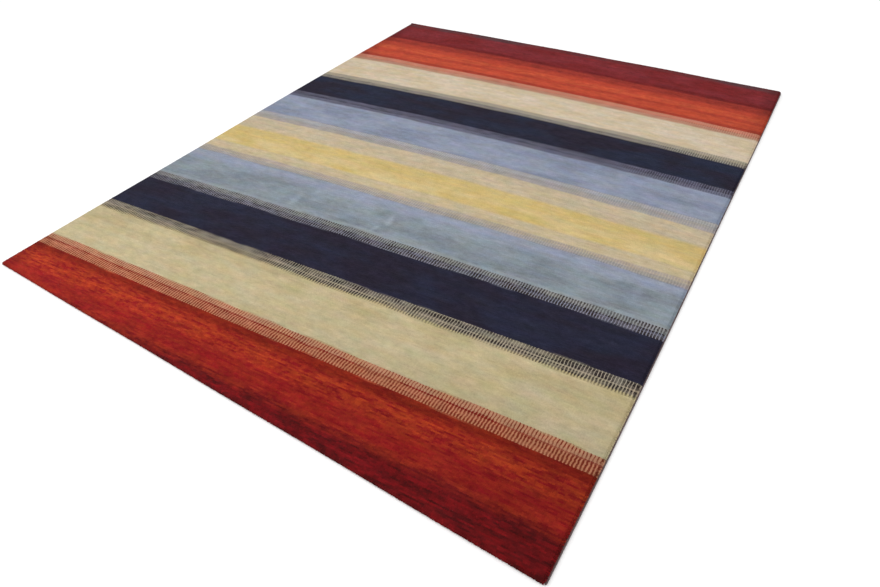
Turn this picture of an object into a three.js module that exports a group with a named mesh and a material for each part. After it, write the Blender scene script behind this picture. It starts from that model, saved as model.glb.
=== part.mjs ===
// A hand-knotted wool rug with a dense short pile and cross stripes, lying flat on a floor.
// One knotted cloth, whose two ends are turned under and felled to the back, and along each
// long side a cord of edge warps overcast with wool.
// Millimetres. X runs across the rug, +Y to its far end, +Z up. The origin is the bottom
// centre of the whole rug.

import * as THREE from 'three';

// The outline, over both side cords, as the loom left it: the sides bow out a little and draw
// in towards the far end, the far end is bowed, and both ends are out of square.
const WIDTH = 2000;
const FAR_MIDDLE_Y = 1257.6;
const NEAR_MIDDLE_Y = -1236;
const SIDE_BOW = 6.5;
const SIDE_TAPER = 2.5;
const FAR_BOW = 14;
const FAR_SKEW = 41;
const NEAR_SKEW = 61;

// The cloth: a woven foundation as high as the wall at its rim, and the pile above it.
const CLOTH_THICKNESS = 13;
const WALL_HEIGHT = 4.5;
const PILE_SHOULDER = 8;

// The pile lies unevenly: long low swells across and along the cloth.
const SWELL_HEIGHT = 0.45;
const SWELLS = [
  { across: 3.1, along: 1.3, phase: 0.4 },
  { across: -1.7, along: 4.2, phase: 2.1 },
  { across: 0.6, along: 9.5, phase: 1.2 },
];

// No edge is quite straight: each wanders by a little, in a few long waves.
const EDGE_WANDER = {
  left: { by: 2, waves: 1.6, phase: 1.37 },
  right: { by: 1.6, waves: 1.2, phase: 0.5 },
  far: { by: 1.2, waves: 4, phase: 1.9 },
  near: { by: 0.5, waves: 3, phase: 4 },
};

// The overcast side cords.
const CORD_WIDTH = 6;
const CORD_HEIGHT = 7;
const CORD_CORNER = 2.6;
const CORD_GAP = 0.3;
const CORD_END_SETBACK = 2.5;
const CORD_STEPS = 42;
const CORD_TIP_STEPS = 3;
const CORD_TIP_LENGTH = 5;
const CORD_TIP_SHRINK = 0.45;

// Grid lines of the cloth: close together over the shoulder, even in between.
const SHOULDER_LINES = 5;
const COLUMNS_BETWEEN = 22;
const ROWS_BETWEEN = 28;

const LEFT = -1;
const RIGHT = 1;
const MIDDLE_LENGTH = FAR_MIDDLE_Y - NEAR_MIDDLE_Y;

// How far an edge wanders at a place along it, given as a share of the rug's size.
function wander(edge, place) {
  return edge.by * Math.sin(2 * Math.PI * edge.waves * place + edge.phase);
}

// Outer edge of the side cord on one side, at a place along the rug.
function sideX(side, y) {
  const place = (y - NEAR_MIDDLE_Y) / MIDDLE_LENGTH;
  const fromMiddle = 2 * place - 1;
  const edge = side === LEFT ? EDGE_WANDER.left : EDGE_WANDER.right;
  const drawnIn = SIDE_BOW * fromMiddle * fromMiddle + SIDE_TAPER * fromMiddle;
  return side * (WIDTH / 2 - drawnIn + wander(edge, place));
}

function farY(x) {
  const across = x / (WIDTH / 2);
  const bowed = FAR_MIDDLE_Y - FAR_BOW * across * across;
  return bowed - (FAR_SKEW / 2) * across + wander(EDGE_WANDER.far, across / 2);
}

function nearY(x) {
  const across = x / (WIDTH / 2);
  return NEAR_MIDDLE_Y - (NEAR_SKEW / 2) * across + wander(EDGE_WANDER.near, across / 2);
}

// Distances of grid lines from an edge over the shoulder, closest at the rim, where the
// quarter round turns fastest.
function shoulderInset(line) {
  return PILE_SHOULDER * (1 - Math.cos(((line / SHOULDER_LINES) * Math.PI) / 2));
}

// Place of a grid line between two edges: measured from the nearer edge over its shoulder,
// and shared out evenly between the shoulders.
function gridPlace(line, lines, low, high) {
  if (line <= SHOULDER_LINES) return low + shoulderInset(line);
  if (line >= lines - SHOULDER_LINES) return high - shoulderInset(lines - line);
  const share = (line - SHOULDER_LINES) / (lines - 2 * SHOULDER_LINES);
  return THREE.MathUtils.lerp(low + PILE_SHOULDER, high - PILE_SHOULDER, share);
}

// Share of the pile's full height that stands at a grid line: none at the rim, all of it
// past the shoulder.
function shoulderShare(line, lines) {
  const fromEdge = Math.min(line, lines - line, SHOULDER_LINES);
  return Math.sin(((fromEdge / SHOULDER_LINES) * Math.PI) / 2);
}

function swell(x, y) {
  const across = x / WIDTH;
  const along = y / MIDDLE_LENGTH;
  let height = 0;
  for (const wave of SWELLS) {
    height += Math.sin(2 * Math.PI * (wave.across * across + wave.along * along) + wave.phase);
  }
  return (SWELL_HEIGHT * height) / SWELLS.length;
}

// The knotted cloth: a box of grid lines whose points are moved to the outline, with a flat
// underside, an upright rim and a rounded shoulder of pile all the way round.
function makeCloth() {
  const columns = COLUMNS_BETWEEN + 2 * SHOULDER_LINES;
  const rows = ROWS_BETWEEN + 2 * SHOULDER_LINES;
  const geometry = new THREE.BoxGeometry(1, 1, 1, columns, rows, 1);
  const points = geometry.attributes.position;
  const point = new THREE.Vector3();
  const inset = CORD_WIDTH + CORD_GAP;
  for (let index = 0; index < points.count; index += 1) {
    point.fromBufferAttribute(points, index);
    const column = Math.round((point.x + 0.5) * columns);
    const row = Math.round((point.y + 0.5) * rows);
    const onTop = point.z > 0;
    const roughX = gridPlace(column, columns, -WIDTH / 2 + inset, WIDTH / 2 - inset);
    const roughY = gridPlace(row, rows, nearY(roughX), farY(roughX));
    const leftRim = sideX(LEFT, roughY) + inset;
    const rightRim = sideX(RIGHT, roughY) - inset;
    const x = gridPlace(column, columns, leftRim, rightRim);
    const y = gridPlace(row, rows, nearY(x), farY(x));
    const share = Math.min(shoulderShare(column, columns), shoulderShare(row, rows));
    const pile = (CLOTH_THICKNESS - WALL_HEIGHT + swell(x, y)) * share;
    points.setXYZ(index, x, y, onTop ? WALL_HEIGHT + pile : 0);
  }
  geometry.deleteAttribute('uv');
  geometry.computeVertexNormals();
  return geometry;
}

// Section of a side cord, from its inner face outwards, with all four corners rounded.
function cordSection() {
  const high = CORD_HEIGHT - CORD_CORNER;
  const wide = CORD_WIDTH - CORD_CORNER;
  const section = new THREE.Shape();
  section.moveTo(CORD_CORNER, 0);
  section.absarc(wide, CORD_CORNER, CORD_CORNER, -Math.PI / 2, 0);
  section.absarc(wide, high, CORD_CORNER, 0, Math.PI / 2);
  section.absarc(CORD_CORNER, high, CORD_CORNER, Math.PI / 2, Math.PI);
  section.absarc(CORD_CORNER, CORD_CORNER, CORD_CORNER, Math.PI, 1.5 * Math.PI);
  return section;
}

// Place of a step along a side cord: short steps in the rounded tips, long ones between.
function cordStepY(step, low, high) {
  const tipStep = CORD_TIP_LENGTH / CORD_TIP_STEPS;
  if (step <= CORD_TIP_STEPS) return low + step * tipStep;
  if (step >= CORD_STEPS - CORD_TIP_STEPS) return high - (CORD_STEPS - step) * tipStep;
  const share = (step - CORD_TIP_STEPS) / (CORD_STEPS - 2 * CORD_TIP_STEPS);
  return THREE.MathUtils.lerp(low + CORD_TIP_LENGTH, high - CORD_TIP_LENGTH, share);
}

function cordTipScale(step) {
  const fromTip = Math.min(step, CORD_STEPS - step, CORD_TIP_STEPS) / CORD_TIP_STEPS;
  return 1 - CORD_TIP_SHRINK * (1 - Math.sin((fromTip * Math.PI) / 2));
}

// One overcast side cord, following the bow of its side from end to end.
function makeCord(side) {
  const geometry = new THREE.ExtrudeGeometry(cordSection(), {
    depth: CORD_STEPS,
    steps: CORD_STEPS,
    bevelEnabled: false,
    curveSegments: 2,
  });
  const endX = side * (WIDTH / 2 - CORD_WIDTH / 2);
  const low = nearY(endX) + CORD_END_SETBACK;
  const high = farY(endX) - CORD_END_SETBACK;
  const points = geometry.attributes.position;
  const point = new THREE.Vector3();
  for (let index = 0; index < points.count; index += 1) {
    point.fromBufferAttribute(points, index);
    const step = side === RIGHT ? CORD_STEPS - point.z : point.z;
    const scale = cordTipScale(step);
    const y = cordStepY(step, low, high);
    const fromCloth = CORD_WIDTH / 2 + (point.x - CORD_WIDTH / 2) * scale;
    const x = sideX(side, y) - side * (CORD_WIDTH - fromCloth);
    points.setXYZ(index, x, y, point.y * scale);
  }
  geometry.deleteAttribute('uv');
  geometry.computeVertexNormals();
  return geometry;
}

function addPiece(name, geometry, material) {
  const mesh = new THREE.Mesh(geometry, material);
  mesh.name = name;
  rug.add(mesh);
}

const knottedWool = new THREE.MeshStandardMaterial({
  color: 0xb29a74,
  roughness: 0.95,
  metalness: 0,
});
const overcastWool = new THREE.MeshStandardMaterial({
  color: 0x4a2226,
  roughness: 0.9,
  metalness: 0,
});

const rug = new THREE.Group();
addPiece('knotted_cloth', makeCloth(), knottedWool);
addPiece('side_cord_left', makeCord(LEFT), overcastWool.clone());
addPiece('side_cord_right', makeCord(RIGHT), overcastWool.clone());

export default rug;
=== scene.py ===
"""A hand-knotted loribaft rug: cut wool pile in broad cross stripes with comb-edged borders,
on a woven back whose ends are turned under and felled, with an overcast cord down each side.
Metres. X runs across the rug, +Y to its far end, +Z up."""

import math
import random
from collections import namedtuple
from types import SimpleNamespace

import bmesh
import bpy
from mathutils import Matrix, Vector, noise


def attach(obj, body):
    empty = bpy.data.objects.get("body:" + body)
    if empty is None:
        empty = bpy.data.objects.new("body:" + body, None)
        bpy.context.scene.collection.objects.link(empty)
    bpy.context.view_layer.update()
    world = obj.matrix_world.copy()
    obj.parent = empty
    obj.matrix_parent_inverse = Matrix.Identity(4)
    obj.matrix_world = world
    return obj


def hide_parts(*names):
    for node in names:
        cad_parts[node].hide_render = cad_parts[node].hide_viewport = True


bl_info = {
    "name": "Loribaft Rug",
    "version": (1, 0, 0),
    "blender": (4, 5, 0),
    "location": "3D View > Sidebar > Rug",
    "description": "Makes the pile, back, side cords and wool finishes of a striped knotted rug",
    "category": "Object",
}

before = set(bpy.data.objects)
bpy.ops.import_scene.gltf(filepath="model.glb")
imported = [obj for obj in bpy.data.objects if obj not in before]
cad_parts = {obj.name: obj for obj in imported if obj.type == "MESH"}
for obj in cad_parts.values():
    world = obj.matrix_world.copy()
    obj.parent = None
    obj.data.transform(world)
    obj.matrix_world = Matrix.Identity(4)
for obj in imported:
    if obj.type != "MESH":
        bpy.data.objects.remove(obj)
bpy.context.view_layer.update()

BODY = "root"
CLOTH_NODE = "knotted_cloth"
CORD_NODES = {-1: "side_cord_left", 1: "side_cord_right"}
LEFT = -1
RIGHT = 1
MM = 0.001

# The outline as the loom left it: how far each edge wanders, in a few long waves.
Wander = namedtuple("Wander", "by waves phase")
EDGE_WANDER = {
    "left": Wander(2.0 * MM, 1.6, 1.37),
    "right": Wander(1.6 * MM, 1.2, 0.5),
    "far": Wander(1.2 * MM, 4, 1.9),
    "near": Wander(0.5 * MM, 3, 4.0),
}

# Long low swells of the pile, as waves across and along the cloth.
Swell = namedtuple("Swell", "across along phase")
SWELLS = (Swell(3.1, 1.3, 0.4), Swell(-1.7, 4.2, 2.1), Swell(0.6, 9.5, 1.2))

# Rows of knots don't run straight across. At each place along the rug, measured from the far
# end down its middle: how much a row slants (metres along for each metre across) and how much
# it bows (for each metre across squared).
Course = namedtuple("Course", "from_far slant bow")
ROW_COURSES = (
    Course(0.012, 0.0148, 0.0141),
    Course(0.226, 0.0156, 0.0187),
    Course(0.276, 0.0130, 0.0198),
    Course(0.461, -0.0025, 0.0238),
    Course(0.757, -0.0191, 0.0317),
    Course(0.936, -0.0228, 0.0283),
    Course(1.802, -0.0454, 0.0114),
    Course(1.988, -0.0441, 0.0016),
    Course(2.289, -0.0402, 0.0011),
    Course(2.502, -0.0380, 0.0),
)

# Yarn colours, as they look in plain white light. 'rim' is no yarn: it is painted shade for the
# darker band where the pile rolls over at the far end.
YARNS = {
    # Painted shade, not a yarn colour.
    "rim": "533236",
    "maroon": "76272C",
    "wine": "67191A",
    "brick": "862D25",
    "orange": "AA3E2B",
    "bright_orange": "BB5334",
    "red_line": "953728",
    "salmon": "BA7A64",
    "peach": "AA806A",
    "rust": "77301F",
    "pale_tan": "BEAD92",
    "milk": "C1B29E",
    "stone": "9A9181",
    "pebble": "8E877E",
    "straw": "978C78",
    "soot": "2A2523",
    "ash": "828384",
    "dove": "6B6A7A",
    "slate": "636374",
    "haze": "80808E",
    "pearl": "9A9899",
    "fog": "98928C",
    "oat": "A59988",
    "navy": "24202D",
    "ink": "202739",
    "sky": "7B8294",
    "sky_light": "868D9E",
    "beige": "B6A68A",
    "gold": "BCA56A",
    "pale_gold": "C1AD80",
    "periwinkle": "858B99",
    "teal": "757D85",
    "mint": "848E95",
    "tan": "A99B77",
    "flax": "B5A887",
    "terracotta": "B28265",
    "copper": "B4795B",
    "dark_red": "721913",
    "flame": "BD4B21",
    "crimson": "83171B",
    "plum": "4F1415",
    "cord": "564849",
    "cord_light": "7A6967",
    "web": "5A3230",
    "root": "8A7C66",
    "thread": "A08C6C",
}

# The stripes in order from the far end: where each starts, how softly it starts, its yarn, a
# second yarn, what the second one does and how much of it shows. In a cloud or a streak it is
# mixed in unevenly. In a comb it makes every other tooth, and the first yarn keeps the stated
# share of the width.
Stripe = namedtuple("Stripe", "at soft yarn second figure much share", defaults=(0.0,))
STRIPES = (
    # This first stripe is painted shade along the far rim, where the pile rolls over.
    Stripe(-0.100, 0.010, "rim", "wine", "cloud", 0.60),
    Stripe(0.044, 0.026, "maroon", "wine", "cloud", 0.80),
    Stripe(0.188, 0.040, "wine", "maroon", "streak", 0.25),
    Stripe(0.220, 0.020, "brick", "orange", "streak", 0.30),
    Stripe(0.276, 0.030, "orange", "red_line", "streak", 0.30),
    Stripe(0.312, 0.020, "orange", "bright_orange", "streak", 0.90),
    Stripe(0.360, 0.014, "orange", "red_line", "streak", 0.80),
    Stripe(0.386, 0.014, "orange", "bright_orange", "streak", 0.60),
    Stripe(0.436, 0.014, "red_line", "orange", "streak", 0.30),
    Stripe(0.460, 0.006, "salmon", "rust", "comb", 0.35, 0.66),
    Stripe(0.486, 0.004, "salmon", "rust", "comb", 0.55, 0.50),
    Stripe(0.493, 0.004, "peach", "rust", "comb", 0.30, 0.62),
    Stripe(0.517, 0.014, "pale_tan", "milk", "cloud", 0.70),
    Stripe(0.706, 0.010, "stone", "soot", "comb", 0.27, 0.60),
    Stripe(0.733, 0.006, "pebble", "soot", "comb", 0.70, 0.40),
    Stripe(0.739, 0.006, "pebble", "soot", "comb", 0.58, 0.45),
    Stripe(0.757, 0.008, "navy", "ink", "cloud", 0.70),
    Stripe(0.935, 0.006, "slate", "navy", "comb", 0.63, 0.28),
    Stripe(0.959, 0.005, "slate", "navy", "comb", 0.80, 0.26),
    Stripe(0.967, 0.005, "slate", "navy", "comb", 0.40, 0.50),
    Stripe(0.990, 0.010, "sky", "sky_light", "cloud", 0.70),
    Stripe(1.168, 0.010, "pearl", "navy", "comb", 0.16, 0.50),
    Stripe(1.193, 0.010, "fog", "dove", "comb", 0.35, 0.40),
    Stripe(1.206, 0.010, "fog", "dove", "comb", 0.24, 0.50),
    Stripe(1.226, 0.012, "beige", "stone", "streak", 0.30),
    Stripe(1.322, 0.024, "gold", "beige", "streak", 0.20),
    Stripe(1.400, 0.060, "gold", "pale_gold", "cloud", 0.90),
    Stripe(1.458, 0.018, "beige", "tan", "streak", 0.55),
    Stripe(1.511, 0.010, "oat", "dove", "comb", 0.28, 0.40),
    Stripe(1.531, 0.004, "fog", "navy", "comb", 0.20, 0.50),
    Stripe(1.537, 0.004, "fog", "navy", "comb", 0.18, 0.60),
    Stripe(1.551, 0.012, "periwinkle", "sky_light", "cloud", 0.60),
    Stripe(1.606, 0.050, "teal", "mint", "cloud", 0.60),
    Stripe(1.738, 0.010, "mint", "ash", "streak", 0.60),
    Stripe(1.751, 0.003, "ash", "soot", "comb", 0.78, 0.47),
    Stripe(1.775, 0.003, "haze", "soot", "comb", 0.95, 0.22),
    Stripe(1.784, 0.003, "haze", "soot", "comb", 0.90, 0.29),
    Stripe(1.802, 0.003, "navy", "ink", "cloud", 0.45),
    Stripe(1.988, 0.003, "stone", "soot", "comb", 0.84, 0.24),
    Stripe(2.010, 0.003, "straw", "soot", "comb", 0.58, 0.62),
    Stripe(2.015, 0.003, "straw", "soot", "comb", 0.86, 0.38),
    Stripe(2.029, 0.006, "tan", "soot", "comb", 0.60, 0.50),
    Stripe(2.037, 0.004, "tan", "flax", "cloud", 0.50),
    Stripe(2.120, 0.050, "flax", "tan", "cloud", 0.60),
    Stripe(2.234, 0.003, "terracotta", "rust", "comb", 0.88, 0.62),
    Stripe(2.256, 0.002, "copper", "dark_red", "comb", 1.00, 0.16),
    Stripe(2.262, 0.002, "copper", "rust", "comb", 0.96, 0.46),
    Stripe(2.290, 0.003, "dark_red", "flame", "streak", 0.20),
    Stripe(2.322, 0.030, "crimson", "flame", "streak", 0.62),
    Stripe(2.385, 0.050, "crimson", "flame", "streak", 0.24),
    Stripe(2.458, 0.050, "plum", "crimson", "streak", 0.80),
)

# Faint lengthwise strokes where the nap was brushed the wrong way: shallow troughs in the pile,
# made lighter by painted sheen.
Mark = namedtuple("Mark", "x from_far length width lean strength")
BRUSH_MARKS = (
    Mark(0.019, 1.660, 0.080, 0.018, 0.22, 1.0),
    Mark(-0.003, 1.718, 0.060, 0.014, -0.25, 0.7),
    Mark(-0.364, 1.690, 0.130, 0.024, 0.0, 0.6),
    Mark(0.872, 1.640, 0.110, 0.020, 0.10, 0.4),
)

# Grid of the pile: lines close together over the rounded rim, and even in between.
SHOULDER_LINES = 5
PILE_COLUMNS = 276
PILE_ROWS = 346

# Layers of the back: the turned-under hem lies below it, and the pile stands on it.
BACK_BOTTOM = 0.4 * MM
BACK_GAP = 0.1 * MM
FOLD_FLAT = 8 * MM
RAMP_LENGTH = 25 * MM
HEM_ROWS = 5
FOLD_ROWS = 8
RAMP_ROWS = 8
MIDDLE_ROWS = 60
BACK_COLUMNS = 40

MIX_SHARE = 0
MIX_FLOATS = (2, 3)
MIX_COLOURS = (6, 7)
MIX_FLOAT_OUT = 0
MIX_COLOUR_OUT = 2


def from_hex(code):
    """A linear colour from six hexadecimal digits of an sRGB one."""
    parts = [int(code[at:at + 2], 16) / 255 for at in (0, 2, 4)]
    return tuple(p / 12.92 if p <= 0.04045 else ((p + 0.055) / 1.055) ** 2.4 for p in parts)


def length(name, description, default, low, high):
    """A setting that is a length in metres."""
    return bpy.props.FloatProperty(
        name=name, description=description, default=default, min=low, max=high, unit="LENGTH")


class RugCloth(bpy.types.PropertyGroup):
    """The whole rug's outline and thickness."""

    width: length("Width", "Over both side cords, at the middle", 2.0, 0.5, 5)
    far_middle: length("Far end", "Middle of the far end, from the rug's centre", 1.2576, 0.3, 5)
    near_middle: length(
        "Near end", "Middle of the near end, from the rug's centre", -1.236, -5, -0.3)
    side_bow: length("Side bow", "How far each side's middle stands out", 6.5 * MM, 0, 0.1)
    side_taper: length(
        "Side taper", "How far each side draws in from middle to far end", 2.5 * MM, -0.1, 0.1)
    far_bow: length("Far bow", "How far the far end's middle stands out", 14 * MM, 0, 0.1)
    far_skew: length(
        "Far skew", "How much the far end drops from left to right", 41 * MM, -0.2, 0.2)
    near_skew: length(
        "Near skew", "How much the near end drops from left to right", 61 * MM, -0.2, 0.2)
    thickness: length(
        "Thickness", "From the floor to the tips of the pile", 13 * MM, 3 * MM, 40 * MM)
    wall: length(
        "Rim height", "Height at which the pile starts to round over", 4.5 * MM, 1 * MM, 20 * MM)
    shoulder: length(
        "Shoulder", "Width over which the pile rounds over at the rim", 8 * MM, 1 * MM, 30 * MM)
    swell: length("Swell", "Height of the long low waves in the pile", 0.45 * MM, 0, 5 * MM)


class RugPile(bpy.types.PropertyGroup):
    """The cut pile and the tufts along its rim."""

    knot: length("Knot", "Width and depth of one knot", 4.8 * MM, 1 * MM, 20 * MM)
    clump: length("Clumps", "Height of the small uneven clumps of the pile", 0.35 * MM, 0, 5 * MM)
    brush_depth: length(
        "Brush marks", "Depth of the strokes brushed into the nap", 0.5 * MM, 0, 5 * MM)
    root: length(
        "Root height", "Height over the floor at which the pile starts", 2.15 * MM, 0, 10 * MM)
    tuft_pitch: length(
        "Tuft pitch", "Distance between tufts along the rim", 4.8 * MM, 2 * MM, 30 * MM)
    tuft_length: length(
        "Tuft length", "Length of a rim tuft, root to tip", 7.0 * MM, 2 * MM, 30 * MM)


class RugBack(bpy.types.PropertyGroup):
    """The woven back with its turned-under hems."""

    thickness: length("Thickness", "Thickness of the woven back", 0.8 * MM, 0.2 * MM, 5 * MM)
    hem: length("Hem", "Depth of the hem turned under at each end", 38 * MM, 5 * MM, 0.2)
    inset: length("Inset", "How far the back stays inside the pile's rim", 0.8 * MM, 0, 10 * MM)
    stitch_pitch: length(
        "Stitch pitch", "Distance between the felling stitches", 9 * MM, 2 * MM, 50 * MM)


class RugCord(bpy.types.PropertyGroup):
    """The overcast cords down both sides."""

    width: length("Width", "Width of a cord", 6 * MM, 2 * MM, 40 * MM)
    height: length("Height", "Height of a cord", 7 * MM, 2 * MM, 40 * MM)
    corner: length("Corner", "Rounding of a cord's section", 2.6 * MM, 0.5 * MM, 20 * MM)
    gap: length("Gap", "Gap between a cord and the knotted cloth", 0.3 * MM, 0, 5 * MM)
    setback: length("Setback", "How far a cord ends inside the rug's end", 2.5 * MM, 0, 50 * MM)
    wrap: length("Wrap", "Width of one turn of overcast yarn", 3.6 * MM, 1 * MM, 20 * MM)


class RugYarns(bpy.types.PropertyGroup):
    """The colour of each yarn, and of the painted shade at the far rim."""

    __annotations__ = {
        name: bpy.props.FloatVectorProperty(
            name=name.replace("_", " ").capitalize(), description="Colour of this yarn",
            default=from_hex(code), min=0, max=1, size=3, subtype="COLOR")
        for name, code in YARNS.items()
    }


class RugStudio(bpy.types.PropertyGroup):
    """Floor, light and camera."""

    floor: bpy.props.FloatVectorProperty(
        name="Floor", description="Colour of the plain floor",
        default=(0.96, 0.96, 0.96), min=0, max=1, size=3, subtype="COLOR")
    floor_radius: length("Floor radius", "Radius of the floor", 30.0, 5, 200)
    sky: bpy.props.FloatProperty(
        name="Room light", description="Strength of the light from all round",
        default=1.02, min=0, max=5)
    key: bpy.props.FloatProperty(
        name="Softbox", description="Power of the softbox",
        default=26.0, min=0, max=2000, unit="POWER")
    lens: bpy.props.FloatProperty(
        name="Lens", description="The camera's focal length on a 36 mm sensor",
        default=25.99, min=10, max=200)


def scene_settings():
    """The settings of all groups, by short names."""
    scene = bpy.context.scene
    return SimpleNamespace(**{name: getattr(scene, "rug_" + name) for name in SETTING_GROUPS})


SETTING_GROUPS = {
    "cloth": RugCloth,
    "pile": RugPile,
    "back": RugBack,
    "cord": RugCord,
    "yarns": RugYarns,
    "studio": RugStudio,
}


# The outline

def wander(edge, place):
    """How far an edge wanders at a place along it, given as a share of the rug's size."""
    return edge.by * math.sin(math.tau * edge.waves * place + edge.phase)


def side_x(cloth, side, y):
    """Outer edge of the side cord on one side."""
    place = (y - cloth.near_middle) / (cloth.far_middle - cloth.near_middle)
    from_middle = 2 * place - 1
    drawn_in = cloth.side_bow * from_middle ** 2 + cloth.side_taper * from_middle
    edge = EDGE_WANDER["left" if side == LEFT else "right"]
    return side * (cloth.width / 2 - drawn_in + wander(edge, place))


def far_y(cloth, x):
    """The far end."""
    across = x / (cloth.width / 2)
    bowed = cloth.far_middle - cloth.far_bow * across ** 2
    return bowed - cloth.far_skew / 2 * across + wander(EDGE_WANDER["far"], across / 2)


def near_y(cloth, x):
    """The near end."""
    across = x / (cloth.width / 2)
    level = cloth.near_middle - cloth.near_skew / 2 * across
    return level + wander(EDGE_WANDER["near"], across / 2)


def rim_x(settings, side, y):
    """Rim of the knotted cloth on one side, inside its cord."""
    cord = settings.cord
    return side_x(settings.cloth, side, y) - side * (cord.width + cord.gap)


def lerp(low, high, share):
    return low + (high - low) * share


def smooth(share):
    share = min(1.0, max(0.0, share))
    return share * share * (3 - 2 * share)


def row_course(from_far):
    """Slant and bow of the row of knots that lies this far from the far end."""
    above = ROW_COURSES[0]
    for below in ROW_COURSES[1:]:
        if from_far < below.from_far:
            break
        above = below
    span = below.from_far - above.from_far
    share = 0 if span == 0 else min(1, max(0, (from_far - above.from_far) / span))
    return lerp(above.slant, below.slant, share), lerp(above.bow, below.bow, share)


def woven_place(cloth, x, y):
    """A point's place in the weave: metres across from the middle, and metres along from the
    far end, measured by rows of knots."""
    along = cloth.far_middle - y
    from_far = along
    for _ in range(5):
        slant, bow = row_course(from_far)
        from_far = along - slant * x - bow * x * x
    return x, from_far


# The pile

def shoulder_inset(line, shoulder):
    """Distance of a grid line from the rim, closest where the quarter round turns fastest."""
    return shoulder * (1 - math.cos(line / SHOULDER_LINES * math.pi / 2))


def grid_place(line, lines, low, high, shoulder):
    """Place of a grid line between two edges."""
    if line <= SHOULDER_LINES:
        return low + shoulder_inset(line, shoulder)
    if line >= lines - SHOULDER_LINES:
        return high - shoulder_inset(lines - line, shoulder)
    share = (line - SHOULDER_LINES) / (lines - 2 * SHOULDER_LINES)
    return lerp(low + shoulder, high - shoulder, share)


def shoulder_share(line, lines):
    """Share of the pile's full height that stands at a grid line."""
    from_edge = min(line, lines - line, SHOULDER_LINES)
    return math.sin(from_edge / SHOULDER_LINES * math.pi / 2)


def swell(cloth, x, y):
    """Height of the long low waves."""
    across = x / cloth.width
    along = y / (cloth.far_middle - cloth.near_middle)
    waves = (math.sin(math.tau * (w.across * across + w.along * along) + w.phase) for w in SWELLS)
    return cloth.swell * sum(waves) / len(SWELLS)


def clumps(pile, x, y):
    """Height of the small clumps, drawn out a little along the rows."""
    coarse = noise.noise(Vector((x / 0.16, y / 0.12, 3.0)))
    fine = noise.noise(Vector((x / 0.034, y / 0.024, 8.0)))
    return pile.clump * (0.8 * coarse + 0.7 * fine)


def brushed(x, from_far):
    """How strongly the nap is brushed at a woven place, from 0 to 1."""
    most = 0.0
    for mark in BRUSH_MARKS:
        along = (from_far - mark.from_far) / (mark.length / 2)
        line = mark.x + mark.lean * (from_far - mark.from_far)
        across = (x - line) / (mark.width / 2)
        if abs(along) < 1 and abs(across) < 2:
            shape = smooth(1 - abs(along)) * math.exp(-across * across)
            most = max(most, mark.strength * min(1.0, 2 * shape))
    return most


def cloth_point(settings, column, row):
    """Where a grid point of the pile lies on the floor."""
    cloth = settings.cloth
    half = cloth.width / 2 - settings.cord.width - settings.cord.gap
    rough_x = grid_place(column, PILE_COLUMNS, -half, half, cloth.shoulder)
    low, high = near_y(cloth, rough_x), far_y(cloth, rough_x)
    rough_y = grid_place(row, PILE_ROWS, low, high, cloth.shoulder)
    left, right = rim_x(settings, LEFT, rough_y), rim_x(settings, RIGHT, rough_y)
    x = grid_place(column, PILE_COLUMNS, left, right, cloth.shoulder)
    y = grid_place(row, PILE_ROWS, near_y(cloth, x), far_y(cloth, x), cloth.shoulder)
    return x, y


def pile_height(settings, x, y, share):
    """Height of the pile's surface where this share of it stands."""
    cloth, pile = settings.cloth, settings.pile
    full = cloth.thickness - cloth.wall + swell(cloth, x, y) + clumps(pile, x, y)
    full -= pile.brush_depth * brushed(*woven_place(cloth, x, y))
    return cloth.wall + full * share


def open_edges(bm):
    return [edge for edge in bm.edges if edge.is_boundary]


def set_uvs(bm, name, places):
    """Makes a UV map with each corner's place taken from its vertex's."""
    layer = bm.loops.layers.uv.new(name)
    bm.verts.index_update()
    for face in bm.faces:
        for loop in face.loops:
            loop[layer].uv = places[loop.vert.index]


def make_pile_mesh(settings):
    """A closed body of pile: a fine grid for its surface, an upright rim and a flat root."""
    cloth, pile = settings.cloth, settings.pile
    bm = bmesh.new()
    bmesh.ops.create_grid(bm, x_segments=PILE_COLUMNS, y_segments=PILE_ROWS, size=0.5)
    place = bm.verts.layers.float_vector.new("place")
    for vert in bm.verts:
        column = round((vert.co.x + 0.5) * PILE_COLUMNS)
        row = round((vert.co.y + 0.5) * PILE_ROWS)
        vert[place] = (column, row, 0)
    for level in (1, 2):
        rim = open_edges(bm)
        made = bmesh.ops.extrude_edge_only(bm, edges=rim)["geom"]
        for vert in made:
            if isinstance(vert, bmesh.types.BMVert):
                vert[place].z = level
    rim = open_edges(bm)
    root = bmesh.ops.contextual_create(bm, geom=rim)["faces"]
    for face in root:
        face.material_index = 1
    brush = bm.verts.layers.float.new("Brushed")
    weave_places, bake_places = [], []
    for vert in bm.verts:
        column, row, level = vert[place]
        x, y = cloth_point(settings, column, row)
        share = min(shoulder_share(column, PILE_COLUMNS), shoulder_share(row, PILE_ROWS))
        height = pile_height(settings, x, y, share)
        if level:
            height = lerp(cloth.wall, pile.root, level / 2)
        vert.co = (x, y, height)
        woven = woven_place(cloth, x, y)
        vert[brush] = brushed(*woven)
        weave_places.append(woven)
        bake_places.append(pile_bake_place(column, row, level))
    set_uvs(bm, "Weave", weave_places)
    set_uvs(bm, "OFBake", bake_places)
    bm.verts.layers.float_vector.remove(bm.verts.layers.float_vector["place"])
    bmesh.ops.recalc_face_normals(bm, faces=bm.faces)
    return finished_mesh(bm, "pile")


def pile_bake_place(column, row, level):
    """Place of a pile point on the map for baking: the surface fills it, and the upright rim
    lies round it."""
    margin, rim_step = 0.010, 0.003
    place = []
    for line, lines in ((column, PILE_COLUMNS), (row, PILE_ROWS)):
        outside = (line == lines) - (line == 0)
        place.append(lerp(margin, 1 - margin, line / lines) + outside * level * rim_step)
    return place


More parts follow.
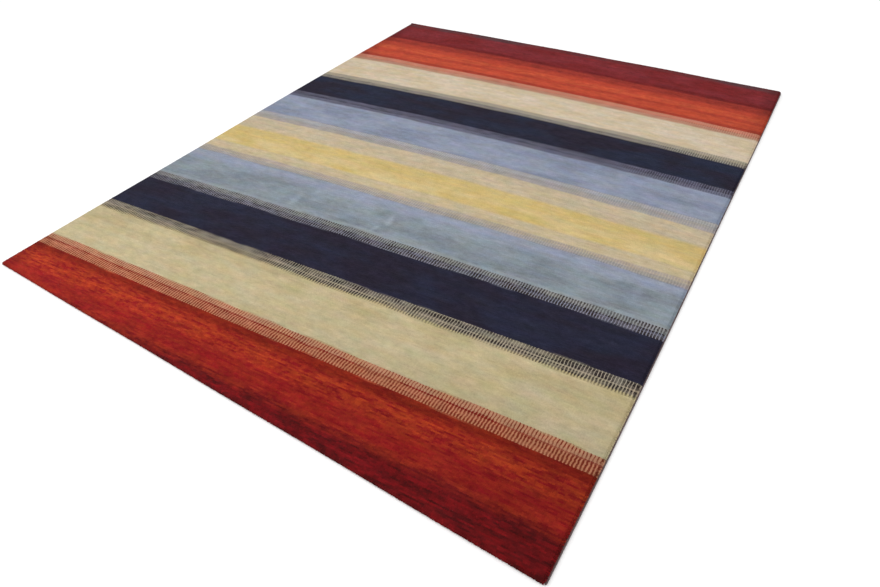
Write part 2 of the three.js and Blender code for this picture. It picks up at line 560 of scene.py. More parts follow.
def finished_mesh(bm, name):
    mesh = bpy.data.meshes.new(name)
    bm.to_mesh(mesh)
    bm.free()
    for polygon in mesh.polygons:
        polygon.use_smooth = True
    return mesh


def new_object(name, data):
    made = bpy.data.objects.new(name, data)
    bpy.context.scene.collection.objects.link(made)
    return made


def add_piece(name, mesh, materials):
    """Puts a finished mesh in the scene, riding on the rug."""
    piece = new_object(name, mesh)
    for material in materials:
        mesh.materials.append(material)
    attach(piece, BODY)
    return piece


# Small pieces that are repeated

def add_copy(bm, template, matrix, woven=None, cell=None):
    """Adds a copy of a template mesh, placed by a matrix. Its Weave places are one woven place,
    and its places for baking lie in one cell."""
    copy = template.copy()
    copy.transform(matrix)
    if woven is not None:
        for corner in copy.uv_layers["Weave"].data:
            corner.uv = woven
    if cell is not None:
        column, row, cells = cell
        for corner in copy.uv_layers["OFBake"].data:
            corner.uv = ((column + corner.uv.x) / cells, (row + corner.uv.y) / cells)
    bm.from_mesh(copy)
    bpy.data.meshes.remove(copy)


def make_tuft_template(pile):
    """One tuft of cut yarn: narrow at the root, wider and rounded at its cut tip."""
    sides, root_radius, tip_radius, tip_round = 6, 1.1 * MM, 2.4 * MM, 0.9 * MM
    bm = bmesh.new()
    bmesh.ops.create_cone(
        bm, cap_ends=True, segments=sides, radius1=root_radius, radius2=tip_radius,
        depth=pile.tuft_length)
    top = [face for face in bm.faces if face.normal.z > 0.9]
    bmesh.ops.inset_region(bm, faces=top, thickness=tip_round, depth=tip_round * 0.7)
    weave = bm.loops.layers.uv.new("Weave")
    bake = bm.loops.layers.uv.new("OFBake")
    margin = 0.08
    for face in bm.faces:
        middle = face.calc_center_median()
        for loop in face.loops:
            point = loop.vert.co
            loop[weave].uv = (0, 0)
            if abs(face.normal.z) > 0.9:
                spread = 0.10 / tip_radius
                across = 0.5 + point.x * spread
                along = (0.85 if middle.z > 0 else 0.12) + point.y * spread * 0.5
            else:
                turn = math.atan2(point.y, point.x) / math.tau % 1
                middle_turn = math.atan2(middle.y, middle.x) / math.tau % 1
                turn += round(middle_turn - turn)
                across = turn
                along = lerp(0.24, 0.72, point.z / pile.tuft_length + 0.5)
            loop[bake].uv = (lerp(margin, 1 - margin, across), lerp(margin, 1 - margin, along))
    return finished_mesh(bm, "tuft template")


# The side rows of tufts start and stop this far inside the corners.
TUFT_CORNER = 6 * MM


def rim_stations(settings, pitch):
    """Points all round the cloth's rim, each with the way out of the cloth there."""
    cloth = settings.cloth
    low_y, high_y = near_y(cloth, 0), far_y(cloth, 0)
    stations = []
    for side in (LEFT, RIGHT):
        steps = round((high_y - low_y) / pitch)
        for step in range(steps):
            low, high = near_y(cloth, side) + TUFT_CORNER, far_y(cloth, side) - TUFT_CORNER
            y = lerp(low, high, (step + 0.5) / steps)
            stations.append((Vector((rim_x(settings, side, y), y, 0)), Vector((side, 0, 0))))
    for end_y, way in ((near_y, -1), (far_y, 1)):
        steps = round(cloth.width / pitch)
        for step in range(steps):
            mid = end_y(cloth, 0)
            x = lerp(rim_x(settings, LEFT, mid), rim_x(settings, RIGHT, mid), (step + 0.5) / steps)
            stations.append((Vector((x, end_y(cloth, x), 0)), Vector((0, way, 0))))
    return stations


# Rows of tufts round the rim, from the lowest to the highest. On the right side they lean over
# the cord, and at the ends they hide the folded edge.
TuftRow = namedtuple("TuftRow", "inset height tilt out")
TUFT_ROWS = {
    "left": (
        TuftRow(1.8 * MM, 8.6 * MM, 50, 1.0 * MM),
        TuftRow(3.4 * MM, 9.6 * MM, 32, 1.0 * MM),
        TuftRow(6.2 * MM, 11.0 * MM, 14, 0.6 * MM),
    ),
    "right": (
        TuftRow(1.0 * MM, 9.4 * MM, 60, 3.8 * MM),
        TuftRow(2.8 * MM, 10.2 * MM, 42, 2.0 * MM),
        TuftRow(5.8 * MM, 11.4 * MM, 18, 0.5 * MM),
    ),
    "end": (
        TuftRow(1.0 * MM, 4.4 * MM, 66, 1.6 * MM),
        TuftRow(2.4 * MM, 8.8 * MM, 38, 1.2 * MM),
        TuftRow(5.6 * MM, 11.2 * MM, 14, 0.8 * MM),
    ),
}
BAKE_CELLS = 75


def make_rim_tufts_mesh(settings):
    """Rows of tufts that lean out all round the rim, as the outermost knots do."""
    pile = settings.pile
    template = make_tuft_template(pile)
    draw = random.Random(11)
    bm = bmesh.new()
    count = 0
    for number in range(3):
        for root, out in rim_stations(settings, pile.tuft_pitch):
            row = TUFT_ROWS[{-1: "left", 0: "end", 1: "right"}[round(out.x)]][number]
            aside = Vector((-out.y, out.x, 0)) * pile.tuft_pitch
            spot = root - out * row.inset + aside * (number * 0.37 + draw.uniform(-0.2, 0.2))
            tilt = math.radians(row.tilt + draw.uniform(-6, 6))
            way = out * math.sin(tilt) + Vector((0, 0, math.cos(tilt)))
            way += aside.normalized() * draw.uniform(-0.2, 0.2)
            tip = spot + Vector((0, 0, row.height + draw.uniform(-0.4, 0.4) * MM))
            tip += way.normalized() * (row.out + draw.uniform(-0.25, 0.25) * MM)
            centre = tip - way.normalized() * pile.tuft_length / 2
            turn = way.to_track_quat("Z", "Y").to_matrix().to_4x4()
            spin = Matrix.Rotation(draw.uniform(0, math.tau), 4, "Z")
            size = draw.uniform(0.88, 1.12)
            matrix = Matrix.Translation(centre) @ turn @ spin @ Matrix.Diagonal((size, size, 1, 1))
            cell = (count % BAKE_CELLS, count // BAKE_CELLS, BAKE_CELLS)
            woven = woven_place(settings.cloth, spot.x, spot.y)
            add_copy(bm, template, matrix, woven, cell)
            count += 1
    bpy.data.meshes.remove(template)
    return finished_mesh(bm, "rim tufts")


# The woven back

def back_stations(settings):
    """Where the back's rows lie: how far towards the near end (0 or 1 at the ends), how far in
    from that end, how high, and whether the row is plain web. The back starts as the far hem,
    folds up, runs the rug's whole length and folds under again as the near hem."""
    back = settings.back
    low = BACK_BOTTOM + back.thickness / 2
    radius = (back.thickness + BACK_GAP) / 2
    high = low + 2 * radius
    end = []
    for row in range(HEM_ROWS):
        end.append((lerp(back.hem, radius, row / HEM_ROWS), low, 1.0))
    for row in range(FOLD_ROWS + 1):
        angle = lerp(-math.pi / 2, math.pi / 2, row / FOLD_ROWS)
        height = low + radius * (1 + math.sin(angle))
        end.append((radius * (1 - math.cos(angle)), height, 1.0))
    end.append((FOLD_FLAT, high, 0.0))
    for row in range(RAMP_ROWS + 1):
        share = row / RAMP_ROWS
        end.append((back.hem + RAMP_LENGTH * share, lerp(high, low, smooth(share)), 0.0))
    inner = end[-1][0]
    stations = [(0.0, *station) for station in end]
    for row in range(1, MIDDLE_ROWS):
        stations.append((row / MIDDLE_ROWS, inner, low, 0.0))
    stations += [(1.0, *station) for station in reversed(end)]
    return stations


def make_back_mesh(settings):
    """The back as one closed thin sheet."""
    cloth, back = settings.cloth, settings.back
    stations = back_stations(settings)
    rows = len(stations) - 1
    bm = bmesh.new()
    bmesh.ops.create_grid(bm, x_segments=BACK_COLUMNS, y_segments=rows, size=0.5)
    web = bm.verts.layers.float.new("Web")
    half = cloth.width / 2 - settings.cord.width - settings.cord.gap - back.inset
    weave_places, bake_places = [], []
    travelled = station_lengths(settings, stations)
    for vert in bm.verts:
        across = vert.co.x + 0.5
        row = round((vert.co.y + 0.5) * rows)
        towards_near, inward, height, plain = stations[row]
        rough_x = lerp(-half, half, across)
        y = back_y(settings, rough_x, towards_near, inward)
        left, right = rim_x(settings, LEFT, y) + back.inset, rim_x(settings, RIGHT, y) - back.inset
        x = lerp(left, right, across)
        y = back_y(settings, x, towards_near, inward)
        vert.co = (x, y, height)
        vert[web] = plain
        weave_places.append(woven_place(cloth, x, y))
        bake_places.append((lerp(0.01, 0.99, across), lerp(0.01, 0.99, travelled[row])))
    set_uvs(bm, "Weave", weave_places)
    set_uvs(bm, "OFBake", bake_places)
    # The middle of the sheet faces down first, and the solidified copy lies above it.
    middle = max(bm.faces, key=lambda face: -abs(face.calc_center_median().y))
    if middle.normal.z > 0:
        bmesh.ops.reverse_faces(bm, faces=bm.faces)
    below = set(bm.faces)
    for vert in bm.verts:
        vert.co += vert.normal * back.thickness / 2
    bmesh.ops.solidify(bm, geom=bm.faces[:], thickness=back.thickness)
    for face in bm.faces:
        if face not in below:
            face.material_index = 1
    bmesh.ops.recalc_face_normals(bm, faces=bm.faces)
    return finished_mesh(bm, "woven back")


def back_y(settings, x, towards_near, inward):
    """y of a place on the back: a distance in from both ends, shared between them."""
    cloth = settings.cloth
    inward = inward + settings.back.inset
    return lerp(far_y(cloth, x) - inward, near_y(cloth, x) + inward, towards_near)


def station_lengths(settings, stations):
    """Share of the back's whole length at which each row lies, measured along the sheet."""
    points = [
        Vector((back_y(settings, 0, towards_near, inward), height))
        for towards_near, inward, height, _ in stations
    ]
    lengths = [0.0]
    for before, after in zip(points, points[1:]):
        lengths.append(lengths[-1] + (after - before).length)
    return [length / lengths[-1] for length in lengths]


def make_stitch_template(settings):
    """One felling stitch: a short round thread that climbs from the hem to the back."""
    back = settings.back
    length, radius, cuts = 9 * MM, 0.42 * MM, 4
    bm = bmesh.new()
    bmesh.ops.create_cone(
        bm, cap_ends=True, segments=6, radius1=radius, radius2=radius, depth=length)
    sides = [edge for edge in bm.edges if edge.calc_length() > length / 2]
    bmesh.ops.subdivide_edges(bm, edges=sides, cuts=cuts)
    bmesh.ops.transform(bm, matrix=Matrix.Rotation(math.pi / 2, 4, "X"), verts=bm.verts)
    rise = back.thickness + BACK_GAP
    for vert in bm.verts:
        along = vert.co.y / length
        tip = 1 - 0.6 * smooth((abs(along) - 0.3) / 0.2)
        vert.co.x *= tip
        vert.co.z *= tip
        vert.co.z += rise * smooth(along + 0.5) + 0.5 * radius * (abs(along) * 2) ** 3
    bmesh.ops.recalc_face_normals(bm, faces=bm.faces)
    return finished_mesh(bm, "stitch template")


def make_stitches_mesh(settings):
    """Slanted felling stitches along the inner edge of both hems."""
    back = settings.back
    template = make_stitch_template(settings)
    draw = random.Random(5)
    bm = bmesh.new()
    for end, towards_near in ((1, 0.0), (-1, 1.0)):
        y_middle = back_y(settings, 0, towards_near, back.hem)
        left, right = rim_x(settings, LEFT, y_middle), rim_x(settings, RIGHT, y_middle)
        count = round((right - left) / back.stitch_pitch)
        for number in range(count):
            x = lerp(left, right, (number + 0.5) / count) + draw.uniform(-0.8, 0.8) * MM
            y = back_y(settings, x, towards_near, back.hem) + draw.uniform(-0.6, 0.6) * MM
            slant = math.radians(28 + draw.uniform(-7, 7))
            turn = Matrix.Rotation((0 if end < 0 else math.pi) + slant, 4, "Z")
            place = Matrix.Translation((x, y, BACK_BOTTOM))
            add_copy(bm, template, place @ turn)
    bpy.data.meshes.remove(template)
    return finished_mesh(bm, "hem stitches")


# The side cords

CORD_SIDES = 14
RINGS_A_WRAP = 5
WRAP_GROOVE = 0.55 * MM
WRAP_THINNING = 0.12 * MM
CORD_TIP = 5 * MM
CORD_TIP_SHRINK = 0.45
CORD_BAKE_ROWS = 32


def make_cord_mesh(settings, side):
    """One cord: a rounded bundle of warps, ribbed by the turns of yarn that go round it."""
    cloth, cord = settings.cloth, settings.cord
    end_x = side * (cloth.width / 2 - cord.width / 2)
    low = near_y(cloth, end_x) + cord.setback
    high = far_y(cloth, end_x) - cord.setback
    rings = round((high - low) / cord.wrap * RINGS_A_WRAP)
    bm = bmesh.new()
    bmesh.ops.create_grid(bm, x_segments=CORD_SIDES, y_segments=rings, size=0.5)
    turns = []
    for vert in bm.verts:
        turn = round((vert.co.x + 0.5) * CORD_SIDES) / CORD_SIDES
        ring = round((vert.co.y + 0.5) * rings)
        turns.append((turn, ring))
        vert.co = cord_point(settings, side, turn, lerp(low, high, ring / rings), low, high)
    wrap_places = [(turn, lerp(low, high, ring / rings)) for turn, ring in turns]
    set_uvs(bm, "Wrap", wrap_places)
    bake = bm.loops.layers.uv.new("OFBake")
    for face in bm.faces:
        spots = [turns[vert.index] for vert in face.verts]
        middle = sum(ring for _, ring in spots) / len(spots) / rings
        bake_row = min(CORD_BAKE_ROWS - 1, int(middle * CORD_BAKE_ROWS))
        for loop, (turn, ring) in zip(face.loops, spots):
            across = ring / rings * CORD_BAKE_ROWS - bake_row
            loop[bake].uv = (
                lerp(0.01, 0.99, across), (bake_row + lerp(0.06, 0.94, turn)) / CORD_BAKE_ROWS)
    bmesh.ops.remove_doubles(bm, verts=bm.verts, dist=0.02 * MM)
    bmesh.ops.holes_fill(bm, edges=open_edges(bm), sides=CORD_SIDES)
    bmesh.ops.recalc_face_normals(bm, faces=bm.faces)
    return finished_mesh(bm, "side cord")


def cord_point(settings, side, turn, y, low, high):
    """A point on a cord's skin, at a turn round it and a y along it."""
    cord = settings.cord
    angle = math.tau * (turn + 0.5 / CORD_SIDES)
    across, up = math.cos(angle), math.sin(angle)
    unevenness = 0.6 * MM * noise.noise(Vector((y / 0.02, side, 0)))
    wrap = (y + unevenness) / cord.wrap + turn
    bulge = math.sqrt(abs(math.sin(math.pi * wrap)))
    thin = 1 + noise.noise(Vector((math.floor(wrap), side, 4)))
    groove = WRAP_GROOVE * (1 - bulge) + WRAP_THINNING * thin
    from_tip = min(1.0, min(y - low, high - y) / CORD_TIP)
    scale = 1 - CORD_TIP_SHRINK * (1 - math.sin(from_tip * math.pi / 2))
    round_part = cord.corner - groove
    half_width = (cord.width / 2 - cord.corner) * math.copysign(1, across) + round_part * across
    half_height = (cord.height / 2 - cord.corner) * math.copysign(1, up) + round_part * up
    x = side_x(settings.cloth, side, y) - side * cord.width / 2 + half_width * scale
    return x, y, (cord.height / 2 + half_height) * scale


# Nodes

class Bench:
    """A node tree, with one short call for each node."""

    def __init__(self, tree):
        self.tree = tree

    def node(self, kind, **settings):
        node = self.tree.nodes.new(kind)
        for name, value in settings.items():
            setattr(node, name, value)
        return node

    def feed(self, socket, value):
        if isinstance(value, bpy.types.NodeSocket):
            self.tree.links.new(value, socket)
        else:
            socket.default_value = value

    def math(self, operation, *values, clamp=False):
        node = self.node("ShaderNodeMath", operation=operation, use_clamp=clamp)
        for socket, value in zip(node.inputs, values):
            self.feed(socket, value)
        return node.outputs[0]

    def plus(self, first, second):
        return self.math("ADD", first, second)

    def minus(self, first, second):
        return self.math("SUBTRACT", first, second)

    def times(self, first, second):
        return self.math("MULTIPLY", first, second)

    def scaled_sum(self, value, by, more, clamp=False):
        """value times by, plus more."""
        return self.math("MULTIPLY_ADD", value, by, more, clamp=clamp)

    def humps(self, value):
        """0 at whole numbers and 1 halfway between them."""
        return self.math("ABSOLUTE", self.math("SINE", self.times(value, math.pi)))

    def vector(self, operation, *values):
        node = self.node("ShaderNodeVectorMath", operation=operation)
        sockets = [socket for socket in node.inputs if socket.type == "VECTOR"]
        for socket, value in zip(sockets, values):
            self.feed(socket, value)
        return node.outputs["Value"] if operation == "DOT_PRODUCT" else node.outputs["Vector"]

    def apart(self, vector):
        return self.pick("ShaderNodeSeparateXYZ", vector).outputs

    def pick(self, kind, *values):
        node = self.node(kind)
        for socket, value in zip(node.inputs, values):
            self.feed(socket, value)
        return node

    def together(self, x, y, z=0.0):
        return self.pick("ShaderNodeCombineXYZ", x, y, z).outputs[0]

    def counted(self, place, pitch):
        """A place counted in pitches both ways."""
        return self.vector("DIVIDE", place, self.together(pitch, pitch, 1.0))

    def noise(self, place, cell, detail=0.0, roughness=0.5, seed=0.0):
        """Soft noise whose patches are about cell (across, along) metres."""
        scale = (1 / cell[0], 1 / cell[1], 1)
        spot = self.vector("MULTIPLY_ADD", place, scale, (seed, seed * 0.7, 0))
        node = self.node("ShaderNodeTexNoise", noise_dimensions="2D")
        self.feed(node.inputs["Vector"], spot)
        for name, value in (("Scale", 1.0), ("Detail", detail), ("Roughness", roughness)):
            self.feed(node.inputs[name], value)
        return node.outputs[0]

    def step(self, value, low, high):
        """0 below low, 1 above high, and smooth between."""
        node = self.node("ShaderNodeMapRange", interpolation_type="SMOOTHSTEP")
        for name, part in (("Value", value), ("From Min", low), ("From Max", high)):
            self.feed(node.inputs[name], part)
        return node.outputs[0]

    def range(self, value, low, high, to_low=0.0, to_high=1.0):
        node = self.node("ShaderNodeMapRange", clamp=True)
        parts = (("Value", value), ("From Min", low), ("From Max", high),
                 ("To Min", to_low), ("To Max", to_high))
        for name, part in parts:
            self.feed(node.inputs[name], part)
        return node.outputs[0]

    def mix(self, share, first, second):
        node = self.node("ShaderNodeMix", data_type="FLOAT")
        for socket, value in zip((MIX_SHARE, *MIX_FLOATS), (share, first, second)):
            self.feed(node.inputs[socket], value)
        return node.outputs[MIX_FLOAT_OUT]

    def mix_colour(self, share, first, second, blend="MIX"):
        node = self.node("ShaderNodeMix", data_type="RGBA", blend_type=blend)
        for socket, value in zip((MIX_SHARE, *MIX_COLOURS), (share, first, second)):
            self.feed(node.inputs[socket], value)
        return node.outputs[MIX_COLOUR_OUT]

    def group(self, name, **values):
        node = self.node("ShaderNodeGroup", node_tree=bpy.data.node_groups[name])
        for socket, value in values.items():
            self.feed(node.inputs[socket.replace("_", " ")], value)
        return node.outputs


def new_group(name, inputs, outputs):
    """A node group with these sockets, its bench, its inputs and a call that feeds its outputs."""
    tree = bpy.data.node_groups.new(name, "ShaderNodeTree")
    kinds = {"float": "NodeSocketFloat", "vector": "NodeSocketVector", "colour": "NodeSocketColor"}
    for socket, kind in inputs.items():
        tree.interface.new_socket(socket, in_out="INPUT", socket_type=kinds[kind])
    for socket, kind in outputs.items():
        tree.interface.new_socket(socket, in_out="OUTPUT", socket_type=kinds[kind])
    bench = Bench(tree)
    given = bench.node("NodeGroupInput").outputs
    result = bench.node("NodeGroupOutput").inputs
    return bench, given, result


def make_knot_cells_group():
    """Knot Cells: the middle of the knot that a woven place lies in, with uneven borders, and a
    chance value for each knot."""
    bench, given, result = new_group(
        "Knot Cells", {"Place": "vector", "Knot": "float"},
        {"Middle": "vector", "Chance": "float"})
    ragged = bench.together(*(
        bench.times(bench.minus(bench.noise(given["Place"], (2.6 * MM, 2.6 * MM), seed=seed), 0.5),
                    3.0 * MM)
        for seed in (3, 9)))
    knot = bench.together(given["Knot"], given["Knot"], 1.0)
    cell = bench.vector("DIVIDE", bench.vector("ADD", given["Place"], ragged), knot)
    cell = bench.vector("ADD", bench.vector("FLOOR", cell), (0.5, 0.5, 0.0))
    bench.feed(result["Middle"], bench.vector("MULTIPLY", cell, knot))
    chance = bench.node("ShaderNodeTexWhiteNoise", noise_dimensions="2D")
    bench.feed(chance.inputs["Vector"], cell)
    bench.feed(result["Chance"], chance.outputs["Value"])


def make_dyeing_group():
    """Dyeing: soft clouds, streaks along the rows, a change of light and dark, and a tint that
    wanders a little, as hand-dyed and hand-spun yarn gives."""
    bench, given, result = new_group(
        "Dyeing", {"Place": "vector"},
        {"Cloud": "float", "Streak": "float", "Shade": "float", "Tint": "vector"})
    place = given["Place"]
    cloud = bench.noise(place, (0.26, 0.10), detail=2.0, roughness=0.5, seed=2)
    fleck = bench.noise(place, (0.026, 0.0052), detail=2.0, roughness=0.6, seed=5)
    long = bench.noise(place, (0.12, 0.013), detail=2.0, seed=10)
    cloud = bench.step(cloud, 0.34, 0.66)
    bench.feed(result["Cloud"], cloud)
    streak = bench.mix(0.5, bench.step(fleck, 0.40, 0.62), bench.step(long, 0.38, 0.62))
    bench.feed(result["Streak"], streak)
    shade = 1.0
    for value, by in (
            (bench.noise(place, (0.024, 0.0060), detail=2.0, roughness=0.6, seed=7), 0.30),
            (bench.noise(place, (0.055, 0.024), detail=1.0, seed=13), 0.24),
            (bench.noise(place, (0.50, 0.012), detail=1.0, seed=4), 0.12),
            (cloud, 0.05)):
        change = bench.scaled_sum(bench.minus(value, 0.5), by, 1.0)
        shade = bench.times(shade, change)
    bench.feed(result["Shade"], shade)
    red = bench.noise(place, (0.080, 0.030), detail=2.0, seed=14)
    blue = bench.noise(place, (0.090, 0.034), detail=2.0, seed=17)
    red = bench.range(red, 0.2, 0.8, 0.93, 1.07)
    blue = bench.range(blue, 0.2, 0.8, 0.91, 1.09)
    bench.feed(result["Tint"], bench.together(red, 1.0, blue))


def make_comb_group():
    """Comb: a wave that goes from 0 to 1 and back over each pair of columns of knots."""
    bench, given, result = new_group(
        "Comb", {"Place": "vector", "Pitch": "float"}, {"Wave": "float"})
    waver = bench.noise(given["Place"], (0.026, 0.012), detail=2.0, seed=6)
    shift = bench.times(bench.minus(waver, 0.5), 6.0 * MM)
    across = bench.apart(given["Place"])[0]
    # Towards the right side the knots draw a little closer together.
    closer = bench.times(bench.math("MAXIMUM", bench.minus(across, 0.45), 0.0), 0.07)
    across = bench.plus(bench.plus(across, closer), shift)
    turn = bench.math("FRACT", bench.math("DIVIDE", across, given["Pitch"]))
    half_turn = bench.math("ABSOLUTE", bench.minus(turn, 0.5))
    bench.feed(result["Wave"], bench.times(half_turn, 2.0))


def make_stripes_group(yarns):
    """Stripe Colours: the yarn at a woven place."""
    bench, given, result = new_group(
        "Stripe Colours",
        {"Place": "vector", "Cloud": "float", "Streak": "float", "Wave": "float"},
        {"Colour": "colour"})
    place = given["Place"]
    waver = bench.noise(place, (0.22, 0.05), detail=2.0, seed=1)
    shift = bench.times(bench.minus(waver, 0.5), 11 * MM)
    along = bench.plus(bench.apart(place)[1], shift)
    first, second, figure = None, None, None
    for stripe in STRIPES:
        colours = [(*getattr(yarns, yarn), 1.0) for yarn in (stripe.yarn, stripe.second)]
        streaked = stripe.figure == "streak"
        much = stripe.much
        weights = (0 if streaked else much, much if streaked else 0, stripe.share, 1.0)
        if first is None:
            first, second, figure = *colours, weights
            continue
        start = bench.step(along, stripe.at - stripe.soft / 2, stripe.at + stripe.soft / 2)
        first = bench.mix_colour(start, first, colours[0])
        second = bench.mix_colour(start, second, colours[1])
        figure = bench.mix_colour(start, figure, weights)
    patchy, streaky, share = bench.apart(figure)
    tooth = bench.step(
        given["Wave"], bench.minus(share, 0.14), bench.plus(share, 0.14))
    # Some teeth stand out and others are nearly lost.
    for cell, seed in (((0.040, 0.016), 15), ((0.26, 0.008), 18)):
        plain = bench.noise(place, cell, detail=1.0, seed=seed)
        tooth = bench.times(tooth, bench.range(plain, 0.25, 0.75, 0.70, 1.28))
    patch = bench.mix(bench.step(share, 0.02, 0.12), given["Cloud"], tooth)
    amount = bench.times(patchy, patch)
    amount = bench.scaled_sum(streaky, given["Streak"], amount, clamp=True)
    bench.feed(result["Colour"], bench.mix_colour(amount, first, second))


def make_pile_relief_group():
    """Cut Pile: the height of the tufts' tips, and how open or deep the pile is, as Light: painted
    shade between the tips and painted light on the highest ones.
    """
    bench, given, result = new_group(
        "Cut Pile", {"Place": "vector", "Knot": "float"}, {"Height": "float", "Light": "float"})
    place = given["Place"]
    knots = bench.counted(place, given["Knot"])
    tips = bench.node("ShaderNodeTexVoronoi", voronoi_dimensions="2D", feature="F1")
    for name, value in (("Vector", knots), ("Scale", 1.0), ("Randomness", 0.85)):
        bench.feed(tips.inputs[name], value)
    dome = bench.range(tips.outputs["Distance"], 0.0, 0.9, 1.0, 0.0)
    fibre = bench.noise(place, (1.3 * MM, 1.3 * MM), detail=2.0, roughness=0.7, seed=8)
    clump = bench.noise(place, (0.030, 0.011), detail=2.0, seed=12)
    height = bench.scaled_sum(fibre, 0.45, dome)
    height = bench.scaled_sum(clump, 0.9, height)
    bench.feed(result["Height"], height)
    bench.feed(result["Light"], bench.range(height, 0.5, 1.6))


def make_knotted_back_group():
    """Knot Backs: the two small loops of each knot in rows, as the underside shows them, with
    Light as painted shade between them.
    """
    bench, given, result = new_group(
        "Knot Backs", {"Place": "vector", "Knot": "float"}, {"Height": "float", "Light": "float"})
    place = bench.counted(given["Place"], given["Knot"])
    waver = bench.noise(given["Place"], (0.020, 0.020), detail=1.0, seed=6)
    across, along, _ = bench.apart(place)
    across = bench.scaled_sum(waver, 0.6, bench.times(across, 2.0))
    loops = bench.humps(across)
    rows = bench.humps(along)
    height = bench.times(bench.math("POWER", loops, 0.6), bench.math("POWER", rows, 0.5))
    bench.feed(result["Height"], height)
    bench.feed(result["Light"], bench.range(height, 0.1, 0.9))


def make_plain_weave_group():
    """Plain Weave: threads that pass over and under each other."""
    bench, given, result = new_group(
        "Plain Weave", {"Place": "vector", "Pitch": "float"}, {"Height": "float"})
    across, along, _ = bench.apart(bench.counted(given["Place"], given["Pitch"]))
    warp = bench.math("SINE", bench.times(across, math.pi))
    weft = bench.math("SINE", bench.times(along, math.pi))
    height = bench.math("ABSOLUTE", bench.plus(warp, weft))
    bench.feed(result["Height"], bench.times(height, 0.5))


def make_plied_yarn_group():
    """Plied Yarn: the twist of a wrapped yarn and its dyeing, from its place round and along, with
    painted shade in the grooves between turns.
    """
    bench, given, result = new_group(
        "Plied Yarn", {"Place": "vector", "Pitch": "float"},
        {"Height": "float", "Shade": "float"})
    turn, along, _ = bench.apart(given["Place"])
    wrap = bench.plus(bench.math("DIVIDE", along, given["Pitch"]), turn)
    twist = bench.scaled_sum(turn, 9.0, bench.times(wrap, 2.0))
    strands = bench.humps(twist)
    place = bench.together(turn, along)
    fibre = bench.noise(place, (0.05, 0.9 * MM), detail=2.0, roughness=0.7, seed=3)
    bench.feed(result["Height"], bench.scaled_sum(fibre, 0.5, strands))
    chance = bench.node("ShaderNodeTexWhiteNoise", noise_dimensions="1D")
    bench.feed(chance.inputs["W"], bench.math("FLOOR", wrap))
    long = bench.noise(place, (1.0, 0.09), detail=1.0, seed=1)
    groove = bench.humps(wrap)
    shade = bench.scaled_sum(chance.outputs["Value"], 0.35, bench.times(long, 0.5))
    # Painted shade in the groove between turns.
    shade = bench.times(shade, bench.range(groove, 0.0, 0.6, 0.45, 1.0))
    bench.feed(result["Shade"], shade)


# Materials

def new_material(name):
    """A material, its bench and its wool shader, which spreads light softly and has no gloss."""
    material = bpy.data.materials.new(name)
    material.use_nodes = True
    bench = Bench(material.node_tree)
    shader = material.node_tree.nodes["Principled BSDF"]
    shader.inputs["Roughness"].default_value = 0.95
    shader.inputs["Specular IOR Level"].default_value = 0.03
    shader.inputs["Sheen Weight"].default_value = 0.025
    shader.inputs["Sheen Roughness"].default_value = 0.45
    return material, bench, shader


def uv_place(bench, name):
    return bench.node("ShaderNodeUVMap", uv_map=name).outputs[0]


def bump(bench, shader, height, depth, strength=1.0):
    """Feeds the shader's normal from a height of 0 to 1, as deep as this."""
    node = bench.node("ShaderNodeBump")
    bench.feed(node.inputs["Strength"], strength)
    bench.feed(node.inputs["Distance"], depth)
    bench.feed(node.inputs["Height"], height)
    bench.feed(shader.inputs["Normal"], node.outputs[0])


def striped_colour(bench, place, knot):
    """The colour of the stripes at a place, with the yarn's own unevenness."""
    cells = bench.group("Knot Cells", Place=place, Knot=knot)
    dyeing = bench.group("Dyeing", Place=cells["Middle"])
    comb = bench.group("Comb", Place=place, Pitch=2 * knot)
    colour = bench.group(
        "Stripe Colours", Place=cells["Middle"], Cloud=dyeing["Cloud"], Streak=dyeing["Streak"],
        Wave=comb["Wave"])["Colour"]
    colour = bench.vector("MULTIPLY", colour, dyeing["Tint"])
    chance = bench.scaled_sum(bench.minus(cells["Chance"], 0.5), 0.06, 1.0)
    shade = bench.times(dyeing["Shade"], chance)
    # The darker the yarn, the more uneven it looks.
    light = bench.vector("DOT_PRODUCT", colour, (0.3, 0.6, 0.1))
    shade = bench.math("POWER", shade, bench.range(light, 0.05, 0.28, 2.1, 1.0))
    # The last stripes grow darker and darker towards the right.
    across, along, _ = bench.apart(place)
    last = bench.step(along, 2.05, 2.38)
    darker_rightwards = bench.range(across, -0.7, 1.0, 1.0, 0.68)
    shade = bench.times(shade, bench.mix(last, 1.0, darker_rightwards))
    # Down both sides the reds are darker again, but not where they already are at the right.
    left = bench.step(across, -0.91, -0.96)
    right = bench.mix(last, bench.step(across, 0.92, 0.97), 0.0)
    red, green, _ = bench.apart(colour)
    darker = bench.range(bench.math("DIVIDE", green, red), 0.15, 0.60, 0.77, 1.0)
    side = bench.math("MAXIMUM", left, right)
    shade = bench.times(shade, bench.mix(side, 1.0, darker))
    return colour, shade


def scaled_colour(bench, colour, shade):
    node = bench.node("ShaderNodeVectorMath", operation="SCALE")
    bench.feed(node.inputs[0], colour)
    bench.feed(node.inputs["Scale"], shade)
    return node.outputs[0]


